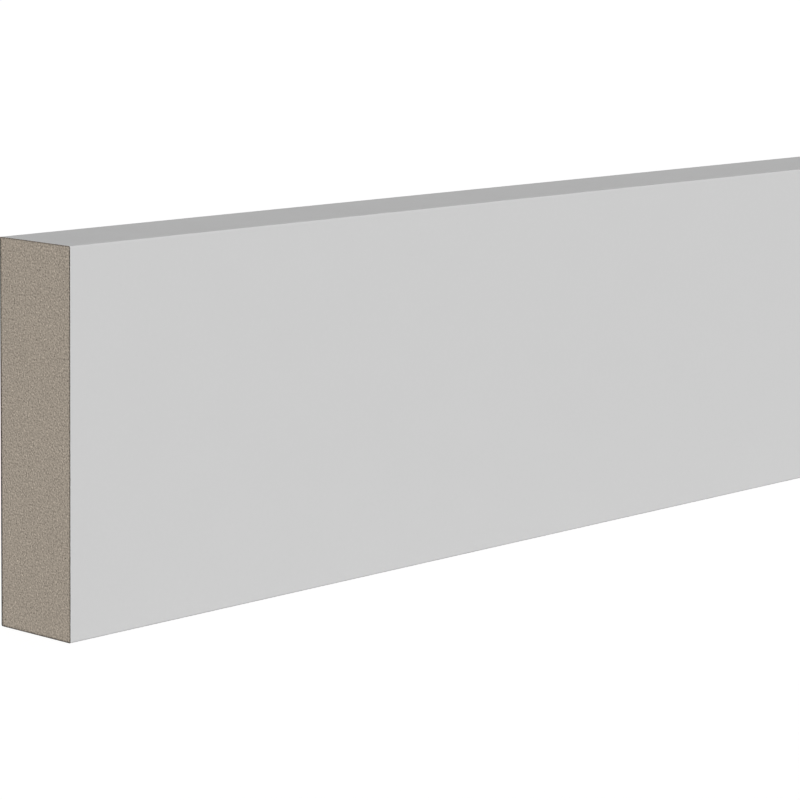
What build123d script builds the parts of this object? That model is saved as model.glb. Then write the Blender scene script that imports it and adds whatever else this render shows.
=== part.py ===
from build123d import *
import os

# One length of square-edge wall moulding: a solid fibreboard batten, primed on its four long
# faces and sawn square at both ends. It stands on its lower edge, as it does along a floor.
# X runs along the board, Y goes from the room to the wall, and Z is up. The origin is on the
# floor, under the middle of the board.

# Driving sizes, in millimetres
board_length = 2400.0
face_height = 69.0
board_thickness = 18.0
arris_radius = 0.3  # on the four long edges, eased just enough to hold primer

# The board: its sawn end's shape, drawn at the left end and run along to the right end
with BuildPart() as board:
    with BuildSketch(Plane.YZ.offset(-board_length / 2)):
        Rectangle(board_thickness, face_height, align=(Align.CENTER, Align.MIN))
    extrude(amount=board_length)

    # Only the long edges are eased, because the saw leaves both ends sharp
    long_edges = board.edges().filter_by(Axis.X)
    fillet(long_edges, radius=arris_radius)

board.part.label = "board"

os.makedirs("parts", exist_ok=True)
export_step(board.part, "parts/board.step")
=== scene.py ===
import itertools
import math
import bmesh
import bpy
from mathutils import Matrix, Vector, noise


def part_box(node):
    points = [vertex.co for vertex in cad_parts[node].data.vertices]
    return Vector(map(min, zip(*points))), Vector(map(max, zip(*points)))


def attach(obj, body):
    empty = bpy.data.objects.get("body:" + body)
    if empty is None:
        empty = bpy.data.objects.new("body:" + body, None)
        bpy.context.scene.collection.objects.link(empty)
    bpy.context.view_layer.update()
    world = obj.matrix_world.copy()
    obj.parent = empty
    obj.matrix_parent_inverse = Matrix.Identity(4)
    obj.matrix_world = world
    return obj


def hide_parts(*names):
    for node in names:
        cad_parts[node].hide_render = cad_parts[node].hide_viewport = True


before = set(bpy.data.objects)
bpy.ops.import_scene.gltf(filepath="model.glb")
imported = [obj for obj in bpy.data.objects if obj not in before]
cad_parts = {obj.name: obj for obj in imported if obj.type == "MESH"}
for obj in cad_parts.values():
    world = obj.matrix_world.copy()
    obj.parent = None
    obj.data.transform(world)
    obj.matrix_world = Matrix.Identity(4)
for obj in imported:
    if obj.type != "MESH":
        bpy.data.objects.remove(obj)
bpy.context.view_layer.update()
boardLow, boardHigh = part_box("board")
boardCentre, boardHalf = (boardLow + boardHigh) / 2, (boardHigh - boardLow) / 2
print("frame loaded:", ", ".join(sorted(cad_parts)))

mm = 0.001  # lengths are written in millimetres where that reads better, and the scene is in metres
white = (1.0, 1.0, 1.0, 1.0)

# The camera stands near the left end, and the board runs off to the right
viewpoint = {
    "fromCorner": (-365.66 * mm, -403.39 * mm, 135.32 * mm),  # from the left end's lower front corner
    "yaw": 48.11,  # degrees from straight at the wall, towards the right end
    "pitch": 9.616,  # degrees down
    "roll": 0.933,
    "lens": 145.19,
    "sensor": 36.0,
    "clipStart": 10 * mm,
}


def makeCamera():
    yaw, pitch, roll = (math.radians(viewpoint[name]) for name in ("yaw", "pitch", "roll"))
    ahead = Vector((math.sin(yaw) * math.cos(pitch), math.cos(yaw) * math.cos(pitch), -math.sin(pitch)))
    level = Vector((math.cos(yaw), -math.sin(yaw), 0.0))
    right = math.cos(roll) * level + math.sin(roll) * level.cross(ahead)
    data = bpy.data.cameras.new("viewpoint")
    data.lens = viewpoint["lens"]
    data.sensor_width = viewpoint["sensor"]
    data.clip_start = viewpoint["clipStart"]
    camera = bpy.data.objects.new("viewpoint", data)
    bpy.context.scene.collection.objects.link(camera)
    turn = Matrix((right, right.cross(ahead), -ahead)).transposed().to_4x4()
    camera.matrix_world = Matrix.Translation(boardLow + Vector(viewpoint["fromCorner"])) @ turn
    bpy.context.scene.camera = camera


makeCamera()
print("camera placed")


# Node helpers

def fill(tree, node, inputs):
    for socket, value in inputs.items():
        if isinstance(value, bpy.types.NodeSocket):
            tree.links.new(value, node.inputs[socket])
        else:
            node.inputs[socket].default_value = value
    return node.outputs


def addNode(tree, kind, inputs, **settings):
    node = tree.nodes.new(kind)
    for name, value in settings.items():
        setattr(node, name, value)
    return fill(tree, node, inputs)


def addMath(tree, operation, first, second):
    return addNode(tree, "ShaderNodeMath", {0: first, 1: second}, operation=operation)[0]


def addVectorMath(tree, operation, first, second):
    return addNode(tree, "ShaderNodeVectorMath", {0: first, 1: second}, operation=operation)[0]


def addBump(tree, height, distance):
    return addNode(tree, "ShaderNodeBump", {"Height": height, "Distance": distance})[0]


def addGroup(tree, group, inputs):
    return addNode(tree, "ShaderNodeGroup", inputs, node_tree=group)


number, vector, colour = "NodeSocketFloat", "NodeSocketVector", "NodeSocketColor"


def newGroup(name, inputs, outputs):
    group = bpy.data.node_groups.new(name, "ShaderNodeTree")
    for label, kind in inputs.items():
        group.interface.new_socket(label, in_out="INPUT", socket_type=kind)
    for label, kind in outputs.items():
        group.interface.new_socket(label, in_out="OUTPUT", socket_type=kind)
    return group, group.nodes.new("NodeGroupInput").outputs, group.nodes.new("NodeGroupOutput").inputs


# Effects that both finishes use

def makeCloud():
    # A cloudy field about 0, mostly between -1 and 1, whose blobs are about Size wide
    noiseMiddle, noiseReach = 0.5, 0.25
    group, given, out = newGroup("cloud", {
        "Vector": vector,
        "Size": number,
        "Detail": number,
        "Seed": number,
    }, {"Field": number})
    blobs = addNode(group, "ShaderNodeTexNoise", {
        "Vector": given["Vector"],
        "W": addMath(group, "MULTIPLY", given["Seed"], given["Size"]),  # which the scale then undoes
        "Scale": addMath(group, "DIVIDE", 1.0, given["Size"]),
        "Detail": given["Detail"],
    }, noise_dimensions="4D")
    aboutNought = addMath(group, "SUBTRACT", blobs["Fac"], noiseMiddle)
    group.links.new(addMath(group, "MULTIPLY", aboutNought, 1 / noiseReach), out["Field"])
    return group


def makeShade():
    # A colour made lighter or darker by a field
    group, given, out = newGroup("shade", {
        "Color": colour,
        "Field": number,
        "Strength": number,
    }, {"Color": colour})
    change = addMath(group, "MULTIPLY", given["Field"], given["Strength"])
    shaded = addNode(group, "ShaderNodeVectorMath", {
        0: given["Color"],
        "Scale": addMath(group, "ADD", change, 1.0),
    }, operation="SCALE")
    group.links.new(shaded[0], out["Color"])
    return group


def makeInset():
    # How far a point lies inside a box, from each of its sides
    sides = [("Left", "Front", "Below"), ("Right", "Back", "Above")]
    inputs = dict.fromkeys(("Vector", "Low", "High"), vector)
    outputs = dict.fromkeys(sides[0] + sides[1], number)
    group, given, out = newGroup("inset", inputs, outputs)
    inward = [
        addVectorMath(group, "SUBTRACT", given["Vector"], given["Low"]),
        addVectorMath(group, "SUBTRACT", given["High"], given["Vector"]),
    ]
    for names, distances in zip(sides, inward):
        for name, distance in zip(names, addNode(group, "ShaderNodeSeparateXYZ", {0: distances})):
            group.links.new(distance, out[name])
    return group


def makeEdgeBand():
    # 1 at an edge, falling to 0 at Width from it, with a border that strays by Raggedness
    group, given, out = newGroup("edgeBand", {
        "Distance": number,
        "Width": number,
        "Field": number,
        "Raggedness": number,
    }, {"Mask": number})
    ragged = addMath(group, "MULTIPLY", given["Field"], given["Raggedness"])
    band = addNode(group, "ShaderNodeMapRange", {
        "Value": addMath(group, "ADD", given["Distance"], ragged),
        "From Min": 0.0,
        "From Max": given["Width"],
        "To Min": 1.0,
        "To Max": 0.0,
    }, interpolation_type="SMOOTHSTEP")
    group.links.new(band[0], out["Mask"])
    return group


cloudGroup, shadeGroup = makeCloud(), makeShade()
insetGroup, edgeBandGroup = makeInset(), makeEdgeBand()


def addCloud(tree, at, cloud):
    return addGroup(tree, cloudGroup, {"Vector": at, **cloud})["Field"]


def addInset(tree, at):
    return addGroup(tree, insetGroup, {"Vector": at, "Low": boardLow, "High": boardHigh})


def addEdgeBand(tree, distance, width, field, raggedness):
    return addGroup(tree, edgeBandGroup, {
        "Distance": distance,
        "Width": width,
        "Field": field,
        "Raggedness": raggedness,
    })["Mask"]


def addShades(tree, base, shades):
    for field, strength in shades:
        base = addGroup(tree, shadeGroup, {"Color": base, "Field": field, "Strength": strength})["Color"]
    return base


def newFinish(name):
    # A material with its tree, and the place on the board that its effects go by
    material = bpy.data.materials.new(name)
    material.use_nodes = True
    return material, material.node_tree, addNode(material.node_tree, "ShaderNodeTexCoord", {})["Object"]


# Primer, on the four long faces
primer = {
    "colour": (0.612, 0.612, 0.612, 1.0),
    "roughness": 0.7,
    "roughnessSpread": 0.05,
    "mottle": {"Size": 11 * mm, "Detail": 3.0, "Seed": 3.0},
    "mottleStrength": 0.006,
    "stipple": {"Size": 0.9 * mm, "Detail": 2.0, "Seed": 7.0},  # left by the roller
    "stippleStrength": 0.006,
    "stippleHeight": 0.003 * mm,
    "sawnBandWidth": 0.3 * mm,  # the coat's broken edge, at each sawn end
    "sawnBandRagged": 0.05 * mm,
    "sawnBandLighter": 0.08,
}


def makePrimer():
    material, tree, at = newFinish("matte_primer")
    mottle = addCloud(tree, at, primer["mottle"])
    stipple = addCloud(tree, at, primer["stipple"])
    inset = addInset(tree, at)
    fromSaw = addMath(tree, "MINIMUM", inset["Left"], inset["Right"])
    sawnBand = addEdgeBand(tree, fromSaw, primer["sawnBandWidth"], stipple, primer["sawnBandRagged"])
    duller = addMath(tree, "MULTIPLY", mottle, primer["roughnessSpread"])
    fill(tree, tree.nodes["Principled BSDF"], {
        "Base Color": addShades(tree, primer["colour"], [
            (mottle, primer["mottleStrength"]),
            (stipple, primer["stippleStrength"]),
            (sawnBand, primer["sawnBandLighter"]),
        ]),
        "Roughness": addMath(tree, "ADD", duller, primer["roughness"]),
        "Normal": addBump(tree, stipple, primer["stippleHeight"]),
    })
    return material


# Raw fibreboard, on the two sawn ends
rawFibre = {
    "colour": (0.416, 0.36, 0.297, 1.0),
    "roughness": 0.92,
    "specular": 0.2,
    "grain": {"Size": 0.32 * mm, "Detail": 1.0, "Seed": 1.0},
    "grainStrength": 0.42,
    "grainHeight": 0.04 * mm,
    "lightFlecks": {"Size": 0.3 * mm, "Detail": 0.0, "Seed": 5.0},
    "lightFleckStrength": 1.1,
    "darkFlecks": {"Size": 0.3 * mm, "Detail": 0.0, "Seed": 9.0},
    "darkFleckStrength": -1.1,
    "fleckFrom": 0.7,  # a fibre's cut end shows where its field is above this
    "patches": {"Size": 3.5 * mm, "Detail": 2.0, "Seed": 13.0},
    "patchStrength": 0.02,
    "skins": {  # the denser fibre along each side, with how wide and how strong it shows
        "Front": (0.4 * mm, -0.95),
        "Back": (0.6 * mm, -0.95),  # pressed, and planed less than the front
        "Below": (0.45 * mm, -0.8),
        "Above": (0.35 * mm, -0.6),
    },
    "skinRagged": 0.05 * mm,
}


def makeRawFibre():
    material, tree, at = newFinish("raw_fibreboard")
    grain = addCloud(tree, at, rawFibre["grain"])
    patches = addCloud(tree, at, rawFibre["patches"])
    flecks = []
    for cloud in (rawFibre["lightFlecks"], rawFibre["darkFlecks"]):
        above = addMath(tree, "SUBTRACT", addCloud(tree, at, cloud), rawFibre["fleckFrom"])
        flecks.append(addMath(tree, "MAXIMUM", above, 0.0))
    inset = addInset(tree, at)
    skins = []
    for side, (width, strength) in rawFibre["skins"].items():
        skin = addEdgeBand(tree, inset[side], width, grain, rawFibre["skinRagged"])
        skins.append((skin, strength))
    fill(tree, tree.nodes["Principled BSDF"], {
        "Base Color": addShades(tree, rawFibre["colour"], [
            (grain, rawFibre["grainStrength"]),
            (flecks[0], rawFibre["lightFleckStrength"]),
            (flecks[1], rawFibre["darkFleckStrength"]),
            (patches, rawFibre["patchStrength"]),
        ] + skins),
        "Roughness": rawFibre["roughness"],
        "Specular IOR Level": rawFibre["specular"],
        "Normal": addBump(tree, grain, rawFibre["grainHeight"]),
    })
    return material


# The board is one closed mesh: a fine grid on each sawn end, joined by outlines of the section
boardForm = {
    "arrisRadius": 0.3 * mm,  # as on the solid's long edges
    "arrisCells": 2,  # from a flat to the middle of a rounding
    "cellsThrough": 80,  # on a sawn end, through the thickness
    "cellsUp": 320,  # and up the face
    "halvings": 4,  # how often the flats' cells are joined in pairs, away from a sawn end
    "firstOutline": 0.3 * mm,  # from a sawn end's plane
    "collar": 20 * mm,  # the stretch beside a sawn end that has a patch of its own on the bake's map
    "outlinePitch": 20 * mm,  # along the rest
    "fuzzDepth": 0.05 * mm,  # how far the sawn surface may lie below its plane
    "fuzzSize": 0.5 * mm,
    "fuzzMiddle": 0.5,  # the share of that depth about which it lies
    "fuzzLayers": [(1.0, 0.5), (2.3, 0.25)],  # how much finer each layer is, with its share of the depth
    "fuzzAtRim": 0.3,  # what is left of the depth at the rim
    "calmWidth": 0.6 * mm,  # the strip along the rim where it is less
}
primedSlot, sawnSlot = 0, 1

# Where each zone lies on the bake's map: left, bottom, right and top
bakePatches = {
    "leftEnd": (0.01, 0.735, 0.99, 0.99),
    "rightEnd": (0.01, 0.47, 0.99, 0.725),
    "leftCollar": (0.01, 0.345, 0.99, 0.46),
    "rightCollar": (0.01, 0.22, 0.99, 0.335),
    "run": (0.01, 0.01, 0.99, 0.21),
}


def onPatch(zone, across, up):
    left, bottom, right, top = bakePatches[zone]
    return left + (right - left) * across, bottom + (top - bottom) * up


def gridSize(halving):
    # How many cells the section's grid has through and up, with its roundings
    around, joined = 2 * boardForm["arrisCells"], 2 ** halving
    return boardForm["cellsThrough"] // joined + around, boardForm["cellsUp"] // joined + around


def gridLine(index, cells, half):
    # A grid line's place on the flat, and its share of the rounding past it, from -1 to 1
    into = boardForm["arrisCells"]
    flat = half - boardForm["arrisRadius"]
    if index < into:
        return -flat, index / into - 1.0
    if index > cells - into:
        return flat, (index - cells) / into + 1.0
    return flat * (2 * (index - into) / (cells - 2 * into) - 1.0), 0.0


def sectionPoint(i, j, halving):
    # A crossing of the section's grid, whose square corners are drawn in to quarters of a circle
    wide, high = gridSize(halving)
    y, u = gridLine(i, wide, boardHalf.y)
    z, v = gridLine(j, high, boardHalf.z)
    radius = boardForm["arrisRadius"]
    return y + radius * u * math.sqrt(1 - v * v / 2), z + radius * v * math.sqrt(1 - u * u / 2)


def roundTheSection(halving):
    # The border's crossings: up the back face, over the top edge, down the front face and back below
    wide, high = gridSize(halving)
    up = [(wide, j) for j in range(high)]
    over = [(i, high) for i in range(wide, 0, -1)]
    down = [(0, j) for j in range(high, 0, -1)]
    below = [(i, 0) for i in range(wide)]
    return up + over + down + below + up[:1]


def addOutline(bm, x, halving, grid=None):
    # Pairs of a vertex and how far round it is, from 0 to 1, where the last vertex is the first again
    crossings = roundTheSection(halving)
    points = [sectionPoint(i, j, halving) for i, j in crossings]
    steps = [math.dist(a, b) for a, b in zip(points, points[1:])]
    around = [walked / sum(steps) for walked in itertools.accumulate([0.0] + steps)]
    if grid:
        verts = [grid[crossing] for crossing in crossings]
    else:
        verts = [bm.verts.new(boardCentre + Vector((x, y, z))) for y, z in points[:-1]]
        verts.append(verts[0])
    return list(zip(verts, around))


def addFace(bm, slot, corners):
    # Each corner is a vertex with its place on the bake's map
    face = bm.faces.new([vert for vert, place in corners])
    face.material_index = slot
    face.smooth = True
    for loop, (vert, place) in zip(face.loops, corners):
        loop[bm.loops.layers.uv["OFBake"]].uv = place


def fuzz(y, z, side):
    # How far below its plane the sawn surface lies here
    at = Vector((side, y / boardForm["fuzzSize"], z / boardForm["fuzzSize"]))
    share = boardForm["fuzzMiddle"]
    for finer, part in boardForm["fuzzLayers"]:
        share += part * noise.noise(finer * at)
    fromRim = min(boardHalf.y - abs(y), boardHalf.z - abs(z)) / boardForm["calmWidth"]
    calm = boardForm["fuzzAtRim"] + (1 - boardForm["fuzzAtRim"]) * min(fromRim, 1.0)
    return boardForm["fuzzDepth"] * calm * min(max(share, 0.0), 1.0)


def addSawnEnd(bm, zone, side):
    # side is -1 at the left end and 1 at the right one
    wide, high = gridSize(0)
    grid, places = {}, {}
    for crossing in itertools.product(range(wide + 1), range(high + 1)):
        y, z = sectionPoint(*crossing, 0)
        x = side * (boardHalf.x - fuzz(y, z, side))
        grid[crossing] = bm.verts.new(boardCentre + Vector((x, y, z)))
        places[crossing] = onPatch(zone, 0.5 - side * z / (2 * boardHalf.z), 0.5 + y / (2 * boardHalf.y))
    for i, j in itertools.product(range(wide), range(high)):
        corners = [(i, j), (i + 1, j), (i + 1, j + 1), (i, j + 1)][::side]
        addFace(bm, sawnSlot, [(grid[corner], places[corner]) for corner in corners])
    return addOutline(bm, side * boardHalf.x, 0, grid)


def addCollar(bm, zone, side):
    # A sawn end's rim and the outlines beside it, with fewer and fewer cells
    outlines = [addSawnEnd(bm, zone, side)]
    cell = 2 * boardHalf.y / boardForm["cellsThrough"]
    fromEnd = boardForm["firstOutline"]
    outlines.append(addOutline(bm, side * (boardHalf.x - fromEnd), 0))
    for halving in range(1, boardForm["halvings"] + 1):
        fromEnd += cell * 2 ** halving
        outlines.append(addOutline(bm, side * (boardHalf.x - fromEnd), halving))
    outlines.append(addOutline(bm, side * (boardHalf.x - boardForm["collar"]), boardForm["halvings"]))
    return outlines


def joinOutlines(bm, left, right, onMap):
    # Faces from one outline to the next along the board, in step with the distance round
    sameDistance = 1e-6
    i = j = 0
    while i < len(left) - 1 or j < len(right) - 1:
        ahead = left[min(i + 1, len(left) - 1)][1] - right[min(j + 1, len(right) - 1)][1]
        corners = [left[i], right[j]]
        if ahead > -sameDistance:
            j += 1
            corners.insert(1, right[j])
        if ahead < sameDistance:
            i += 1
            corners.insert(1, left[i])
        placed = [(vert, onMap(vert.co.x - boardCentre.x, around)) for vert, around in corners]
        addFace(bm, primedSlot, placed)


def makeBoardMesh():
    bm = bmesh.new()
    bm.loops.layers.uv.new("OFBake")
    collar = boardForm["collar"]
    run = 2 * (boardHalf.x - collar)
    leftCollar = addCollar(bm, "leftEnd", -1)
    rightCollar = addCollar(bm, "rightEnd", 1)
    middle = []
    between = round(run / boardForm["outlinePitch"])
    for step in range(1, between):
        middle.append(addOutline(bm, run * (step / between - 0.5), boardForm["halvings"]))

    def onLeftCollar(x, around):
        return onPatch("leftCollar", around, (x + boardHalf.x) / collar)

    def onRun(x, around):
        return onPatch("run", 0.5 + x / run, 1 - around)

    def onRightCollar(x, around):
        return onPatch("rightCollar", around, 1 - (boardHalf.x - x) / collar)

    stretches = [
        (leftCollar, onLeftCollar),
        ([leftCollar[-1]] + middle + [rightCollar[-1]], onRun),
        (rightCollar[::-1], onRightCollar),
    ]
    for outlines, onMap in stretches:
        for left, right in zip(outlines, outlines[1:]):
            joinOutlines(bm, left, right, onMap)
    for edge in bm.edges:
        edge.smooth = edge.link_faces[0].material_index == edge.link_faces[1].material_index
    mesh = bpy.data.meshes.new("primed_board")
    bm.to_mesh(mesh)
    bm.free()
    return mesh


def straightOut(point):
    # Away from a flat, or from the centre line of a rounding
    place = point - boardCentre
    flatY, flatZ = boardHalf.y - boardForm["arrisRadius"], boardHalf.z - boardForm["arrisRadius"]
    within = Vector((place.x, min(max(place.y, -flatY), flatY), min(max(place.z, -flatZ), flatZ)))
    return (place - within).normalized()


def makeBoard():
    mesh = makeBoardMesh()
    for material in (makePrimer(), makeRawFibre()):  # in the order of primedSlot and sawnSlot
        mesh.materials.append(material)
    normals = [(0.0, 0.0, 0.0)] * len(mesh.loops)  # which leaves the mesh's own normals
    for face in mesh.polygons:
        if face.material_index == primedSlot:
            for index in face.loop_indices:
                normals[index] = straightOut(mesh.vertices[mesh.loops[index].vertex_index].co)
    mesh.normals_split_custom_set(normals)
    piece = bpy.data.objects.new("primed_board", mesh)
    bpy.context.scene.collection.objects.link(piece)
    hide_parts("board")
    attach(piece, "root")
    return piece


primedBoard = makeBoard()
print("board made:", len(primedBoard.data.polygons), "faces")


# The studio
studio = {
    "skyStrength": 0.31,  # what the board gets; the camera sees plain white
    "keyStrength": 0.965 * math.pi,  # at pi, a surface facing the lamp shows its own colour
    "keyRound": 37.0,  # degrees from straight at the front face, round by the left end
    "keyUp": 12.0,
    "fillStrength": 0.7 * math.pi,  # from behind, low enough to leave the top edge as it is
    "fillRound": 217.0,
    "fillUp": 5.0,
    "lampSoftness": 25.0,
    "floorHalf": 40.0,  # metres
    "floorBelow": 0.02 * mm,
    "floorColour": (0.2, 0.2, 0.2, 1.0),
    "floorGlow": 0.85,  # seen by the camera, with the light on a darker floor, which keeps a shadow
    "floorSeenColour": (0.3, 0.3, 0.3, 1.0),
}


def addSeen(tree):
    # 1 for what shows to the camera, also in gloss or through glass, and 0 for what lights
    path = addNode(tree, "ShaderNodeLightPath", {})
    gloss = addMath(tree, "MAXIMUM", path["Is Glossy Ray"], path["Is Transmission Ray"])
    return addMath(tree, "MAXIMUM", path["Is Camera Ray"], gloss)


def makeSky():
    world = bpy.data.worlds.new("studio")
    world.use_nodes = True
    tree = world.node_tree
    lights = addNode(tree, "ShaderNodeBackground", {"Color": white, "Strength": studio["skyStrength"]})
    shows = addNode(tree, "ShaderNodeBackground", {"Color": white, "Strength": 1.0})
    both = addNode(tree, "ShaderNodeMixShader", {0: addSeen(tree), 1: lights[0], 2: shows[0]})
    tree.links.new(both[0], tree.nodes["World Output"].inputs["Surface"])
    bpy.context.scene.world = world


def makeLamp(name, shines):
    around, up = math.radians(studio[name + "Round"]), math.radians(studio[name + "Up"])
    towards = Vector((-math.sin(around) * math.cos(up), -math.cos(around) * math.cos(up), math.sin(up)))
    light = bpy.data.lights.new(name, "SUN")
    light.energy = studio[name + "Strength"]
    light.angle = math.radians(studio["lampSoftness"])
    lamp = bpy.data.objects.new(name, light)
    bpy.context.scene.collection.objects.link(lamp)
    lamp.rotation_euler = towards.to_track_quat("Z", "Y").to_euler()
    lamp.visible_glossy = shines


def makeFloor():
    material = bpy.data.materials.new("floor")
    material.use_nodes = True
    tree = material.node_tree
    tree.nodes.remove(tree.nodes["Principled BSDF"])
    lit = addNode(tree, "ShaderNodeBsdfDiffuse", {"Color": studio["floorColour"]})
    glow = addNode(tree, "ShaderNodeEmission", {"Color": white, "Strength": studio["floorGlow"]})
    darker = addNode(tree, "ShaderNodeBsdfDiffuse", {"Color": studio["floorSeenColour"]})
    shows = addNode(tree, "ShaderNodeAddShader", {0: glow[0], 1: darker[0]})
    both = addNode(tree, "ShaderNodeMixShader", {0: addSeen(tree), 1: lit[0], 2: shows[0]})
    tree.links.new(both[0], tree.nodes["Material Output"].inputs["Surface"])
    bm = bmesh.new()
    bmesh.ops.create_grid(bm, x_segments=1, y_segments=1, size=studio["floorHalf"])
    mesh = bpy.data.meshes.new("floor")
    bm.to_mesh(mesh)
    bm.free()
    mesh.materials.append(material)
    floor = bpy.data.objects.new("floor", mesh)
    floor.location.z = boardLow.z - studio["floorBelow"]
    bpy.context.scene.collection.objects.link(floor)


makeSky()
makeLamp("key", True)
makeLamp("fill", False)  # soft and low, it would glare along the top edge
makeFloor()
bpy.context.scene.view_settings.view_transform = "Standard"
print("studio ready")
